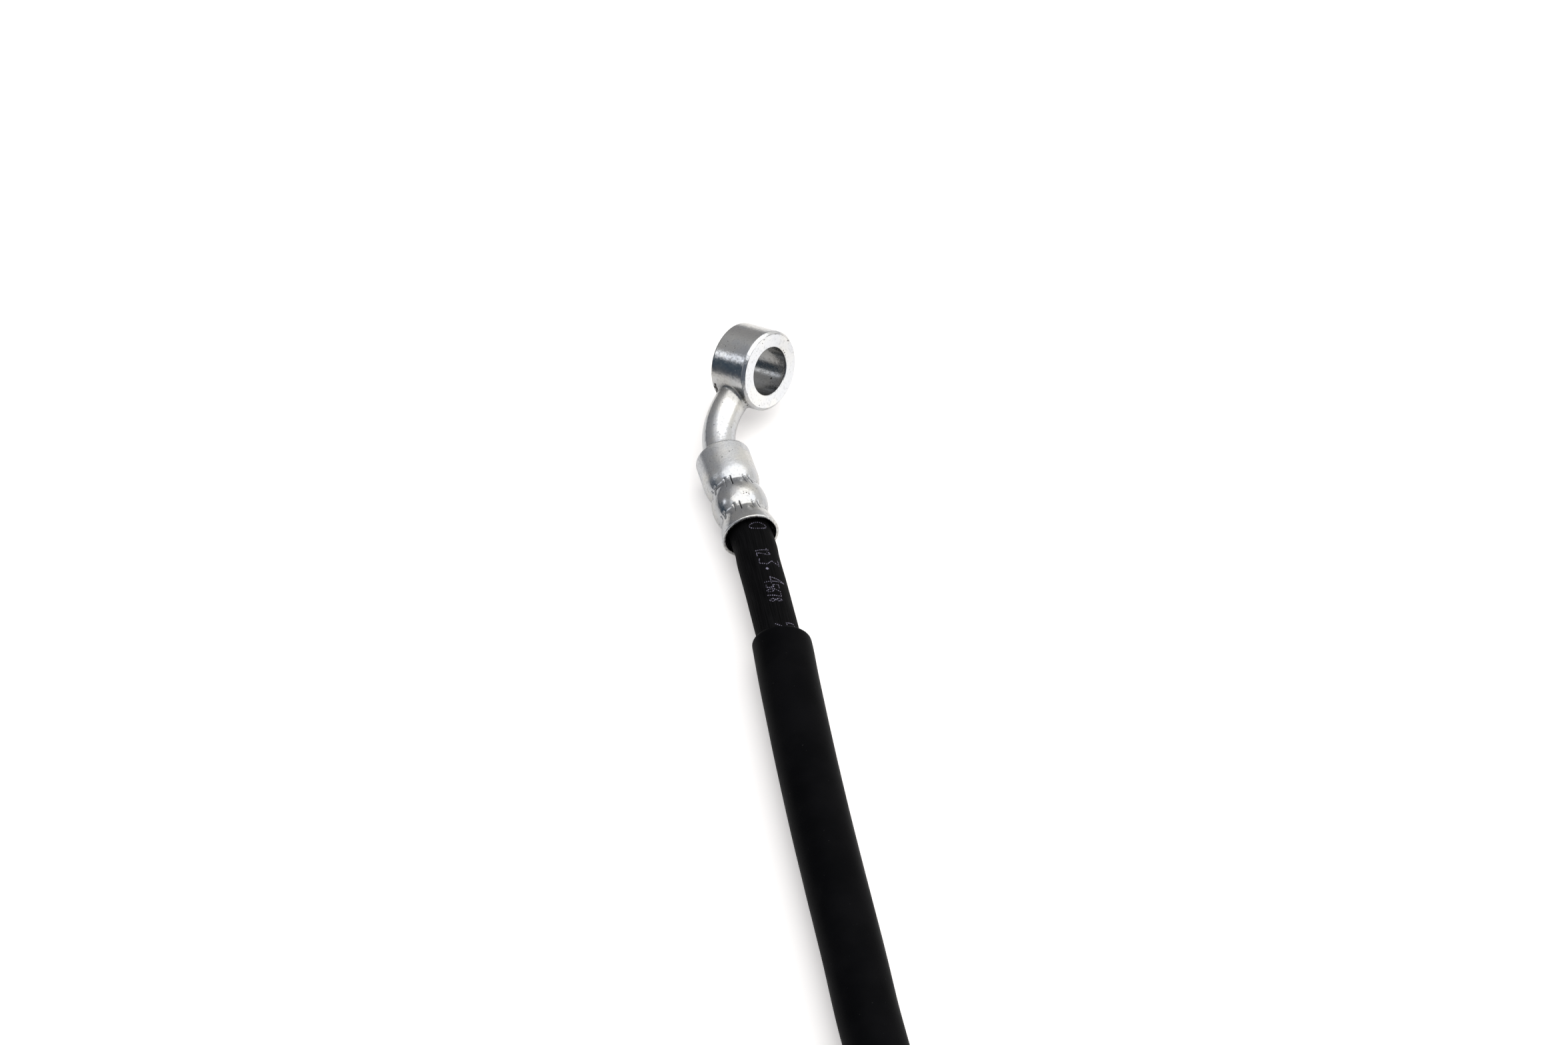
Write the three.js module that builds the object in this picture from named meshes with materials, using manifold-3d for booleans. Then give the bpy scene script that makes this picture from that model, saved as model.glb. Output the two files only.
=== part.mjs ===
// Brake line: a rubber brake hose with a bent banjo fitting crimped on each end and a loose rubber
// sleeve over the middle. It lies flat on a table. Units are millimetres, +Z is up, the table is z = 0,
// and the hose runs along Y, with the first fitting at +Y.

import * as THREE from 'three';
import { mergeVertices } from 'three/addons/utils/BufferGeometryUtils.js';
import Module from 'manifold-3d';

// Clearance kept between pieces that touch on the real line
const GAP = 0.3;

// Hose
const HOSE_OD = 10.5;
const HOSE_BORE = 3.2;
const HOSE_RUN = 355.7; // along its middle line, from one ferrule's mouth to the other's
const BORE_TAPER = 1.0; // length over which the bore widens onto the insert

// Protective sleeve over the hose
const SLEEVE_OD = 14.4;
const SLEEVE_WALL = 1.35;
const BARE_HOSE = 35.4; // hose left bare between a ferrule's mouth and the sleeve

// Crimped ferrule, stations measured from its mouth
const FERRULE_LENGTH = 27.4;
const FERRULE_OD = 14.0;
const FERRULE_WALL = 0.85;
const FERRULE_EDGE = 0.4; // chamfer around the closed end
const SHOULDER = 1.5; // thickness of the closed end that the stem comes out of
const MOUTH_OD = 14.4;
const LIP = 0.4; // straight rim at the mouth
const CRIMP_OD = 12.0;
const BULGE_OD = 13.8; // between the two crimps
const FIRST_CRIMP = 5.8;
const CRIMP_PITCH = 9.0; // from the first crimp to the second
const CRIMP_RUN = 3.4; // from the second crimp up to the full diameter

// Banjo eye
const EYE_OD = 20.6;
const EYE_BORE = 12.4;
const EYE_WIDTH = 11.4;
const EYE_CHAMFER = 0.65;

// Bent stem with its insert in the hose
const STEM_OD = 8.4;
const STEM_BORE = 2.6; // fluid passage in the bent part and through the eye's wall
const STEM_STRAIGHT = 1.4; // from the ferrule's closed end to the start of the bend
const BEND_RADIUS = 19.3;
const BEND_ANGLE = THREE.MathUtils.degToRad(50);
const EYE_REACH = 11.4; // from the end of the bend to the middle of the eye
const BRAZE_FILLET = 0.8;
const COLLAR = 2.0; // shoulder on the stem, trapped behind the ferrule's closed end
const INSERT_OD = 3.6;
const INSERT_BORE = 2.0;
const INSERT_TIP = 3.0; // from the mouth to the tip of the insert
const BARB = 0.25; // height of the insert's barbs
const BARB_SLOPE = 0.5; // length of a barb's slope
const BARB_PITCH = 3.0;
const LAST_BARB = 1.0; // at the least, from the last barb to the collar

// Turn of each bent end about its hose, up from the table
const ROLL = THREE.MathUtils.degToRad(25.7);

// Shape of the hose's middle line seen from above, from the first mouth to the second. The points are
// chosen by hand, and the shape is enlarged to the hose's run. The hose lies level, at the height that
// rests its widest piece.
const AXIS_HEIGHT = Math.max(SLEEVE_OD, MOUTH_OD, FERRULE_OD) / 2;
const SHAPE_XY = [
  [-36.1, 172.0], [-35.7, 167.0], [-35.8, 163.4], [-35.6, 155.2], [-35.5, 147.0],
  [-35.4, 130.7], [-35.7, 118.6], [-36.1, 102.4], [-36.4, 82.1], [-36.4, 61.8],
  [-36.3, 41.4], [-36.4, 21.1], [-35.4, -4.5], [-32.6, -29.9], [-27.6, -55.0],
  [-20.2, -79.5], [-10.7, -103.3], [0.4, -126.3], [12.4, -149.0], [24.3, -171.6],
];

// Facets around each kind of round piece
const FACETS = {
  hose: 12,
  hoseBore: 8,
  sleeve: 16,
  ferrule: 24,
  eye: 36,
  eyeDrill: 12,
  stem: 16,
  stemBore: 8,
};

// Steps along each curved piece
const FERRULE_STEPS = 3; // between two stations of the ferrule
const FILLET_STEPS = 3;
const STEM_STEPS = 12;
const SHORTEST_STEP = 0.2;

// Overlap of two bodies that are joined into one
const OVERLAP = 1.0;

const steel = { color: 0xb9bab8, metalness: 1.0, roughness: 0.34 };
const rubber = { color: 0x0b0b0c, metalness: 0.0, roughness: 0.55 };
const sleeveRubber = { color: 0x0a0a0a, metalness: 0.0, roughness: 0.7 };

const wasm = await Module();
wasm.setup();

// Joining and cutting

function toSolid(geometry) {
  const bare = geometry.clone();
  bare.deleteAttribute('normal');
  bare.deleteAttribute('uv');
  const merged = mergeVertices(bare, 1e-4);
  return new wasm.Manifold(new wasm.Mesh({
    numProp: 3,
    vertProperties: new Float32Array(merged.attributes.position.array),
    triVerts: new Uint32Array(merged.index.array),
  }));
}

function toGeometry(solid) {
  const mesh = solid.getMesh();
  const geometry = new THREE.BufferGeometry();
  geometry.setAttribute('position', new THREE.BufferAttribute(new Float32Array(mesh.vertProperties), 3));
  geometry.setIndex(new THREE.BufferAttribute(new Uint32Array(mesh.triVerts), 1));
  geometry.computeVertexNormals();
  return geometry;
}

// Basic shapes

// A closed outline of [radius, height] points turned about Z.
function turned(outline, facets) {
  const points = outline.map(([r, z]) => new THREE.Vector2(r, z));
  const first = points[0];
  const last = points[points.length - 1];
  if (!first.equals(last)) points.push(first.clone());
  const lathe = new THREE.LatheGeometry(points, facets);
  return lathe.rotateX(Math.PI / 2);
}

function circle(radius, facets, PathType) {
  const path = new PathType();
  for (let k = 0; k <= facets; k += 1) {
    const angle = (2 * Math.PI * k) / facets;
    const method = k === 0 ? 'moveTo' : 'lineTo';
    path[method](radius * Math.cos(angle), radius * Math.sin(angle));
  }
  return path;
}

// A round pipe swept along a curve.
function pipe(curve, outerRadius, innerRadius, steps, facets, innerFacets) {
  const section = circle(outerRadius, facets, THREE.Shape);
  section.holes.push(circle(innerRadius, innerFacets, THREE.Path));
  return new THREE.ExtrudeGeometry(section, { extrudePath: curve, steps, bevelEnabled: false });
}

// A part of another curve, between two shares of its length.
class StretchOfCurve extends THREE.Curve {
  constructor(curve, from, to) {
    super();
    this.curve = curve;
    this.from = from;
    this.to = to;
  }

  getPoint(t, target = new THREE.Vector3()) {
    return this.curve.getPointAt(THREE.MathUtils.lerp(this.from, this.to, t), target);
  }
}

// Ferrule: local Z runs from the mouth, at 0, to the closed end

const SECOND_CRIMP = FIRST_CRIMP + CRIMP_PITCH;
const FERRULE_STATIONS = [
  [LIP, MOUTH_OD / 2],
  [FIRST_CRIMP, CRIMP_OD / 2],
  [FIRST_CRIMP + CRIMP_PITCH / 2, BULGE_OD / 2],
  [SECOND_CRIMP, CRIMP_OD / 2],
  [SECOND_CRIMP + CRIMP_RUN, FERRULE_OD / 2],
];

// The ferrule's outer radius at a height, blended smoothly from station to station.
function ferruleRadius(z) {
  const last = FERRULE_STATIONS.length - 1;
  if (z <= FERRULE_STATIONS[0][0]) return FERRULE_STATIONS[0][1];
  if (z >= FERRULE_STATIONS[last][0]) return FERRULE_STATIONS[last][1];
  const k = FERRULE_STATIONS.findIndex(([station]) => z < station);
  const [z0, r0] = FERRULE_STATIONS[k - 1];
  const [z1, r1] = FERRULE_STATIONS[k];
  const share = (1 - Math.cos((Math.PI * (z - z0)) / (z1 - z0))) / 2;
  return r0 + (r1 - r0) * share;
}

// Heights at which the ferrule's curved wall is sampled.
function ferruleHeights(from, to) {
  const heights = [];
  for (let k = 1; k < FERRULE_STATIONS.length; k += 1) {
    const [z0] = FERRULE_STATIONS[k - 1];
    const [z1] = FERRULE_STATIONS[k];
    for (let i = 0; i < FERRULE_STEPS; i += 1) heights.push(z0 + ((z1 - z0) * i) / FERRULE_STEPS);
  }
  heights.push(FERRULE_STATIONS[FERRULE_STATIONS.length - 1][0]);
  const between = heights.filter((z) => z > from + SHORTEST_STEP && z < to - SHORTEST_STEP);
  return [from, ...between, to];
}

const CAVITY_END = FERRULE_LENGTH - SHOULDER;
const STEM_HOLE = STEM_OD / 2 + GAP;

function ferrule() {
  const outside = ferruleHeights(0, FERRULE_LENGTH - FERRULE_EDGE).map((z) => [ferruleRadius(z), z]);
  const inside = ferruleHeights(0, CAVITY_END).map((z) => [ferruleRadius(z) - FERRULE_WALL, z]);
  const outline = [
    ...outside,
    [FERRULE_OD / 2 - FERRULE_EDGE, FERRULE_LENGTH],
    [STEM_HOLE, FERRULE_LENGTH],
    [STEM_HOLE, CAVITY_END],
    ...inside.reverse(),
  ];
  return turned(outline, FACETS.ferrule);
}

// Banjo eye: local Z is the axis of its bore, and the passage enters along -X

function eye() {
  const outer = EYE_OD / 2;
  const half = EYE_WIDTH / 2;
  const ring = turned([
    [EYE_BORE / 2, -half],
    [outer - EYE_CHAMFER, -half],
    [outer, -half + EYE_CHAMFER],
    [outer, half - EYE_CHAMFER],
    [outer - EYE_CHAMFER, half],
    [EYE_BORE / 2, half],
  ], FACETS.eye);
  const drill = new THREE.CylinderGeometry(STEM_BORE / 2, STEM_BORE / 2, EYE_OD, FACETS.eyeDrill);
  drill.rotateZ(Math.PI / 2).translate(-outer, 0, 0);
  return toGeometry(toSolid(ring).subtract(toSolid(drill)));
}

// Stem: local Z is the ferrule's axis, and the bend turns from +Z towards +X

const COLLAR_TOP = CAVITY_END - GAP;
const COLLAR_BOTTOM = COLLAR_TOP - COLLAR;
const COLLAR_RADIUS = FERRULE_OD / 2 - FERRULE_WALL - GAP;
const BEND_START = FERRULE_LENGTH + STEM_STRAIGHT;

// Middle line of the bent pipe, from the collar to the middle of the eye.
class StemLine extends THREE.Curve {
  constructor() {
    super();
    this.straight = BEND_START - COLLAR_BOTTOM;
    this.arc = BEND_RADIUS * BEND_ANGLE;
    this.total = this.straight + this.arc + EYE_REACH;
  }

  getPoint(t, target = new THREE.Vector3()) {
    const run = t * this.total;
    const bent = THREE.MathUtils.clamp(run - this.straight, 0, this.arc) / BEND_RADIUS;
    const beyond = Math.max(run - this.straight - this.arc, 0);
    const x = BEND_RADIUS * (1 - Math.cos(bent)) + beyond * Math.sin(bent);
    const straightTop = Math.min(COLLAR_BOTTOM + run, BEND_START);
    const z = straightTop + BEND_RADIUS * Math.sin(bent) + beyond * Math.cos(bent);
    return target.set(x, 0, z);
  }
}

const STEM_LINE = new StemLine();
const EYE_CENTRE = STEM_LINE.getPoint(1);

// Places a shape made about the eye's own centre: its X along the stem's end, its Z along the bore.
function atEye(geometry) {
  return geometry.rotateY(-(Math.PI / 2 - BEND_ANGLE)).translate(EYE_CENTRE.x, 0, EYE_CENTRE.z);
}

// The barbed insert and the collar, turned about the ferrule's axis.
function insert() {
  const root = INSERT_OD / 2 - BARB;
  const tip = INSERT_OD / 2;
  const outline = [[INSERT_BORE / 2, INSERT_TIP], [root, INSERT_TIP]];
  for (let z = INSERT_TIP + BARB_PITCH; z < COLLAR_BOTTOM - LAST_BARB; z += BARB_PITCH) {
    outline.push([tip, z - BARB_SLOPE], [tip, z], [root, z]);
  }
  outline.push(
    [root, COLLAR_BOTTOM],
    [COLLAR_RADIUS, COLLAR_BOTTOM],
    [COLLAR_RADIUS, COLLAR_TOP],
    [INSERT_BORE / 2, COLLAR_TOP],
  );
  return turned(outline, FACETS.stem);
}

// Brazed foot of the stem: it flares to the fillet's radius just outside the eye.
function brazeFoot() {
  const surface = EYE_OD / 2 + GAP;
  const radius = STEM_OD / 2;
  const outline = [[0, 0], [radius + BRAZE_FILLET, 0], [radius + BRAZE_FILLET, surface]];
  for (let k = 1; k <= FILLET_STEPS; k += 1) {
    const angle = (Math.PI / 2) * (k / FILLET_STEPS);
    outline.push([
      radius + BRAZE_FILLET * (1 - Math.sin(angle)),
      surface + BRAZE_FILLET * (1 - Math.cos(angle)),
    ]);
  }
  outline.push([0, surface + BRAZE_FILLET]);
  return turned(outline, FACETS.stem).rotateY(-Math.PI / 2);
}

function stem() {
  const bent = pipe(STEM_LINE, STEM_OD / 2, STEM_BORE / 2, STEM_STEPS, FACETS.stem, FACETS.stemBore);
  const clear = EYE_OD / 2 + GAP;
  const eyeRoom = new THREE.CylinderGeometry(clear, clear, EYE_OD + EYE_WIDTH, FACETS.eye);
  eyeRoom.rotateX(Math.PI / 2);
  const body = toSolid(insert()).add(toSolid(bent)).add(toSolid(atEye(brazeFoot())));
  return toGeometry(body.subtract(toSolid(passage())).subtract(toSolid(atEye(eyeRoom))));
}

// The fluid passage as one body, from the tip of the insert to the eye.
function passage() {
  const drill = new THREE.CylinderGeometry(INSERT_BORE / 2, INSERT_BORE / 2, COLLAR_TOP, FACETS.stemBore);
  drill.rotateX(Math.PI / 2).translate(0, 0, COLLAR_TOP / 2);
  const section = circle(STEM_BORE / 2, FACETS.stemBore, THREE.Shape);
  const bentLine = new StretchOfCurve(STEM_LINE, OVERLAP / STEM_LINE.total, 1);
  const bentDrill = new THREE.ExtrudeGeometry(
    section,
    { extrudePath: bentLine, steps: STEM_STEPS, bevelEnabled: false },
  );
  return toGeometry(toSolid(drill).add(toSolid(bentDrill)));
}

// Hose

// A smooth line through the shape's points, enlarged by a factor.
function smoothLine(enlargement) {
  const points = SHAPE_XY.map(([x, y]) => new THREE.Vector3(x * enlargement, y * enlargement, AXIS_HEIGHT));
  return new THREE.CatmullRomCurve3(points, false, 'centripetal');
}

const ROUTE = smoothLine(HOSE_RUN / smoothLine(1).getLength());
const HOSE_END = COLLAR_BOTTOM - GAP;
const BORE_IN_FITTING = Math.max(HOSE_BORE / 2, INSERT_OD / 2 + GAP);

// The hose's end inside a ferrule: squeezed by the crimps and stretched over the insert.
function hoseEnd() {
  const radius = HOSE_OD / 2;
  const fit = (z) => Math.min(radius, ferruleRadius(z) - FERRULE_WALL - GAP);
  const outline = [[radius, -OVERLAP], ...ferruleHeights(0, HOSE_END).map((z) => [fit(z), z])];
  outline.push([BORE_IN_FITTING, HOSE_END], [BORE_IN_FITTING, INSERT_TIP - GAP]);
  outline.push([HOSE_BORE / 2, INSERT_TIP - GAP - BORE_TAPER], [HOSE_BORE / 2, -OVERLAP]);
  return turned(outline, FACETS.stem);
}

// Fittings in place

const up = new THREE.Vector3(0, 0, 1);

// Where a fitting stands: its mouth at the route's end, its bend rolled up from the table.
function fittingPlace(share, sign) {
  const axis = ROUTE.getTangentAt(share).multiplyScalar(sign).normalize();
  const right = new THREE.Vector3().crossVectors(axis, up);
  const side = right.multiplyScalar(Math.cos(ROLL)).addScaledVector(up, Math.sin(ROLL));
  const place = new THREE.Matrix4().makeBasis(side, new THREE.Vector3().crossVectors(axis, side), axis);
  return place.setPosition(ROUTE.getPointAt(share));
}

function named(name, geometry, finish) {
  const mesh = new THREE.Mesh(geometry, new THREE.MeshStandardMaterial(finish));
  mesh.name = name;
  return mesh;
}

function fitting(letter, place) {
  const group = new THREE.Group();
  group.add(named(`banjo_eye_${letter}`, atEye(eye()), steel));
  group.add(named(`bent_stem_${letter}`, stem(), steel));
  group.add(named(`crimp_ferrule_${letter}`, ferrule(), steel));
  group.applyMatrix4(place);
  return group;
}

function hose(places) {
  const steps = Math.round(HOSE_RUN / HOSE_OD);
  const run = pipe(ROUTE, HOSE_OD / 2, HOSE_BORE / 2, steps, FACETS.hose, FACETS.hoseBore);
  let body = toSolid(run);
  for (const place of places) {
    body = body.add(toSolid(hoseEnd().applyMatrix4(place)));
  }
  return toGeometry(body);
}

function sleeve() {
  const setback = BARE_HOSE / HOSE_RUN;
  const covered = new StretchOfCurve(ROUTE, setback, 1 - setback);
  const outer = SLEEVE_OD / 2;
  const steps = Math.round((HOSE_RUN - 2 * BARE_HOSE) / SLEEVE_OD);
  return pipe(covered, outer, outer - SLEEVE_WALL, steps, FACETS.sleeve, FACETS.sleeve);
}

const placeA = fittingPlace(0, -1);
const placeB = fittingPlace(1, 1);

const brakeLine = new THREE.Group();
brakeLine.name = 'brake_line';
brakeLine.add(fitting('a', placeA));
brakeLine.add(fitting('b', placeB));
brakeLine.add(named('hose', hose([placeA, placeB]), rubber));
brakeLine.add(named('sleeve', sleeve(), sleeveRubber));

export default brakeLine;
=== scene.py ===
# %% [markdown]
# # A flexible brake line
#
# A brake line carries fluid from a fixed pipe to a wheel that moves. It is a rubber hose with a bent
# steel fitting crimped on each end, and a loose rubber sleeve over its middle against rubbing. The
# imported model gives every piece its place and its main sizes. This notebook gives each piece its
# fine surface and its finish, and then sets the table, the light and the camera.

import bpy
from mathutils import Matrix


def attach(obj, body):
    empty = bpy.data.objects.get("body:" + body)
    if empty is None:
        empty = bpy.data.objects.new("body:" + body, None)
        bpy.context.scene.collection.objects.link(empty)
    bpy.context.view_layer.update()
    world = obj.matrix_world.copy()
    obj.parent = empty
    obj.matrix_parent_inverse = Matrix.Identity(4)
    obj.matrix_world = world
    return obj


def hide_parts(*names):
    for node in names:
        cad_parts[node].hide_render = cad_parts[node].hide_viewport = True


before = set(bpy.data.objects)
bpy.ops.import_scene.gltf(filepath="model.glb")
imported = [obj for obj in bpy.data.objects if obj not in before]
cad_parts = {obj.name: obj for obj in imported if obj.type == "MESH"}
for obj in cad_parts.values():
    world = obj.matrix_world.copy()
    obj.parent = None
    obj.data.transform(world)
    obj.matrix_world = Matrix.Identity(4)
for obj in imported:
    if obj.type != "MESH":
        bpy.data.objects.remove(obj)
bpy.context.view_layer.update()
print("CAD nodes:", ", ".join(sorted(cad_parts)))

# %% Tools
import math

import bpy
import numpy as np
from mathutils import Matrix

MM = 0.001
scene = bpy.context.scene
scene.view_settings.view_transform = "Standard"
print("colours are shown by the view transform", scene.view_settings.view_transform)

# %% [markdown]
# ## The camera
#
# The photograph was taken with a long lens from about a metre away, looking down at the table. The
# place, the direction and the lens were worked out from the outlines of the round pieces. A long
# lens matters here: a short one would make the near end of the line look much too thick.

# %% Camera
CAMERA_PLACE = (-0.15483, -0.51319, 0.74207)
LOOK = np.array((0.12570, 0.67821, -0.72403))
RIGHT = np.array((0.98325, -0.18224, 0.0))
AWAY = np.array((-RIGHT[1], RIGHT[0], 0.0))  # level, straight away from the camera
LENS = 94.63
SENSOR_WIDTH = 36.0

camera_data = bpy.data.cameras.new("camera")
camera_data.sensor_width = SENSOR_WIDTH
camera_data.lens = LENS
camera = bpy.data.objects.new("camera", camera_data)
scene.collection.objects.link(camera)
turn = np.column_stack((RIGHT, np.cross(RIGHT, LOOK), -LOOK))
camera.matrix_world = Matrix.Translation(CAMERA_PLACE) @ Matrix(turn.tolist()).to_4x4()
scene.camera = camera
print("camera", np.round(np.linalg.norm(CAMERA_PLACE), 3), "m from the middle of the part")

# %% [markdown]
# ## The hose's line
#
# The hose is one smooth curve, so its middle line comes first and every other piece is placed from
# it. The points are the same as in the CAD model. A Catmull-Rom line goes through all of them and
# keeps the curve even; a Bezier curve would need handles set by hand.

# %% Middle line of the hose
ROUTE = np.array([
    (-36.1, 172.0), (-35.7, 167.0), (-35.8, 163.4), (-35.6, 155.2), (-35.5, 147.0),
    (-35.4, 130.7), (-35.7, 118.6), (-36.1, 102.4), (-36.4, 82.1), (-36.4, 61.8),
    (-36.3, 41.4), (-36.4, 21.1), (-35.4, -4.5), (-32.6, -29.9), (-27.6, -55.0),
    (-20.2, -79.5), (-10.7, -103.3), (0.4, -126.3), (12.4, -149.0), (24.3, -171.6),
])
AXIS_HEIGHT = 7.2
STRETCH_STEPS = 80


def smooth_line(points):
    """Points on a smooth line through the given ones. Each stretch is a cubic, whose slope at either
    end comes from the neighbouring points, weighted by the square root of the distances."""
    p = np.vstack((2 * points[0] - points[1], points, 2 * points[-1] - points[-2]))
    gap = np.sqrt(np.linalg.norm(np.diff(p, axis=0), axis=1))[:, None]
    d0, d1, d2 = gap[:-2], gap[1:-1], gap[2:]
    p0, p1, p2, p3 = p[:-3], p[1:-2], p[2:-1], p[3:]
    slope1 = d1 * ((p1 - p0) / d0 - (p2 - p0) / (d0 + d1) + (p2 - p1) / d1)
    slope2 = d1 * ((p2 - p1) / d1 - (p3 - p1) / (d1 + d2) + (p3 - p2) / d2)
    u = np.linspace(0, 1, STRETCH_STEPS, endpoint=False)[:, None, None]
    cubic = ((2 * u**3 - 3 * u**2 + 1) * p1 + (u**3 - 2 * u**2 + u) * slope1
             + (3 * u**2 - 2 * u**3) * p2 + (u**3 - u**2) * slope2)
    return np.vstack((cubic.transpose(1, 0, 2).reshape(-1, points.shape[1]), points[-1]))


def run_along(points):
    """Distance of each point from the first along a chain: the sum of the steps before it."""
    return np.concatenate(([0], np.cumsum(np.linalg.norm(np.diff(points, axis=0), axis=1))))


fine_line = smooth_line(np.column_stack((ROUTE, np.full(len(ROUTE), AXIS_HEIGHT))))
fine_run = run_along(fine_line)
fine_slope = np.gradient(fine_line, fine_run, axis=0)
HOSE_RUN = fine_run[-1]
print("hose between the ferrules:", round(HOSE_RUN, 1), "mm")


# %% A point anywhere along the hose
def on_hose(run):
    """Middle points and unit directions at distances from the first mouth, in mm. Beyond either
    mouth the line goes straight on, into the fitting."""
    inside = np.clip(run, 0, HOSE_RUN)
    centre = np.column_stack([np.interp(inside, fine_run, fine_line[:, k]) for k in range(3)])
    ahead = np.column_stack([np.interp(inside, fine_run, fine_slope[:, k]) for k in range(3)])
    ahead /= np.linalg.norm(ahead, axis=1)[:, None]
    return centre + (run - inside)[:, None] * ahead, ahead


# %% [markdown]
# ## One way to make every piece
#
# Each piece is a grid of points: rows go along the piece and columns go round it. A grid can be
# worked out as one array from a formula, is closed by construction, and keeps its faces even, which
# a chain of boolean cuts wouldn't.

# %% From a grid of points to a mesh
def skin(name, grid, along, around, ring=False, clean=1.0):
    """A closed mesh from points[row, column] in mm. The last column joins the first. In a ring the
    last row joins the first too, and otherwise a flat cap closes each end. The map named surface
    holds each corner's place in mm: around the piece and along it. The last argument becomes an
    attribute that scales the bare surface's colour at each point. It holds dirt and wear, and also
    painted shade and painted highlights: from 0 in a slit, whose darkness is painted shade, to above
    1 on a cut face, whose brightness is partly a painted reflection."""
    rows, columns = grid.shape[:2]
    row, column = np.divmod(np.arange((rows if ring else rows - 1) * columns), columns)
    next_row, next_column = (row + 1) % rows, (column + 1) % columns
    quads = np.column_stack((row * columns + column, row * columns + next_column,
                             next_row * columns + next_column, next_row * columns + column))
    caps = [] if ring else [list(range(columns))[::-1],
                            list(range((rows - 1) * columns, rows * columns))]
    mesh = bpy.data.meshes.new(name)
    mesh.from_pydata((grid.reshape(-1, 3) * MM).tolist(), [], quads.tolist() + caps)
    mesh.polygons.foreach_set("use_smooth", np.ones(len(mesh.polygons), bool))
    across = np.append(around, 2 * around[-1] - around[-2])
    onward = np.append(along, 2 * along[-1] - along[-2])
    corners = np.stack((
        np.column_stack((across[column], across[column + 1], across[column + 1], across[column])),
        np.column_stack((onward[row], onward[row], onward[row + 1], onward[row + 1])),
    ), axis=2).reshape(-1, 2)
    uv = np.zeros((len(mesh.loops), 2))
    uv[:len(corners)] = corners
    mesh.uv_layers.new(name="surface").data.foreach_set("uv", uv.ravel())
    cleanness = np.broadcast_to(np.asarray(clean, float), grid.shape[:2]).ravel()
    mesh.attributes.new("clean", "FLOAT", "POINT").data.foreach_set("value", cleanness)
    return placed(name, mesh)


# %% Placing a mesh
def placed(name, mesh):
    """An object for a mesh that is already in its place, with its size printed. A mesh whose faces
    point inwards would print a negative volume."""
    mesh.update()
    mesh.calc_loop_triangles()
    corner = np.empty(3 * len(mesh.vertices))
    mesh.vertices.foreach_get("co", corner)
    triangle = np.empty(3 * len(mesh.loop_triangles), int)
    mesh.loop_triangles.foreach_get("vertices", triangle)
    a, b, c = corner.reshape(-1, 3)[triangle].reshape(-1, 3, 3).transpose(1, 0, 2)
    volume = np.einsum("ij,ij->", a, np.cross(b, c)) / 6
    print(f"{name}: {len(mesh.loop_triangles)} triangles, {volume * 1e6:.4f} cm3")
    piece = bpy.data.objects.new(name, mesh)
    scene.collection.objects.link(piece)
    return piece


# %% Sweeping a round section along a line
UP = np.array((0.0, 0.0, 1.0))


def sweep(centre, ahead, radius, angle):
    """Points round a level line: centre + radius * (cos(angle) * side + sin(angle) * up), where
    side is level and square to the line. The radius is one number a row, or one a point."""
    side = np.cross(UP, ahead)
    radius = np.broadcast_to(np.asarray(radius, float).reshape(len(centre), -1),
                             (len(centre), len(angle)))[..., None]
    out = (np.cos(angle)[None, :, None] * side[:, None] + np.sin(angle)[None, :, None] * UP)
    return centre[:, None] + radius * out


def circle(columns):
    """Angles of evenly spaced columns round a piece."""
    return np.arange(columns) * 2 * math.pi / columns


# %% [markdown]
# ## Small unevenness
#
# Nothing on a used or handled part is perfectly even. A sum of a few waves in random directions
# gives a smooth, repeatable unevenness: the seed fixes it, so every run gives the same part.

# %% Smooth unevenness
def unevenness(places, wavelength, seed, waves=14):
    """Sum of cosines with random directions and phases, divided so that it stays near -1 to 1."""
    rng = np.random.default_rng(seed)
    shape = (waves, places.shape[-1])
    direction = rng.normal(size=shape)
    direction /= np.linalg.norm(direction, axis=1)[:, None]
    direction *= (2 * math.pi / wavelength) * rng.uniform(0.6, 1.5, (waves, 1))
    phase = rng.uniform(0, 2 * math.pi, waves)
    return np.cos(places @ direction.T + phase).sum(axis=-1) / math.sqrt(2 * waves)


# %% [markdown]
# ## The fittings' own frames
#
# Both ends carry the same fitting. Its pieces are easiest to describe upright, with Z along the
# ferrule and X towards the side that the neck bends to, so each is made that way and then moved
# to its end of the hose.

# %% Frames of the two fittings
ROLL = math.radians(25.7)


def fitting_frame(run, sign):
    """The mouth's middle and three axes as columns: side, third and the ferrule's own axis."""
    centre, ahead = on_hose(np.array([run]))
    axis = sign * ahead[0]
    side = math.cos(ROLL) * np.cross(axis, UP) + math.sin(ROLL) * UP
    return centre[0], np.column_stack((side, np.cross(axis, side), axis))


FITTINGS = {"a": fitting_frame(0.0, -1), "b": fitting_frame(HOSE_RUN, 1)}


def to_part(points, letter):
    """Moves points from a fitting's own frame to the part's."""
    mouth, axes = FITTINGS[letter]
    return mouth + points @ axes.T


def at_both_ends(stem, grid, along, around, **options):
    """The same piece, made in a fitting's own frame, at each end of the hose."""
    return {letter: skin(f"{stem}_{letter}", to_part(grid, letter), along, around, **options)
            for letter in FITTINGS}


for letter, (mouth, axes) in FITTINGS.items():
    print("fitting", letter, "mouth", np.round(mouth, 1), "axis", np.round(axes[:, 2], 3))

# %% [markdown]
# ## The crimped ferrule's outline
#
# The ferrule is a thin steel shell. A press closes eight jaws on it in two bands, so it has a bulge
# between two waists and flares again at its mouth. Its outline is measured at whole millimetres
# from the mouth, as pairs of height and outer radius, and a smooth line goes through them. The hose
# is squeezed by the same outline, so this comes before the hose.

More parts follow.
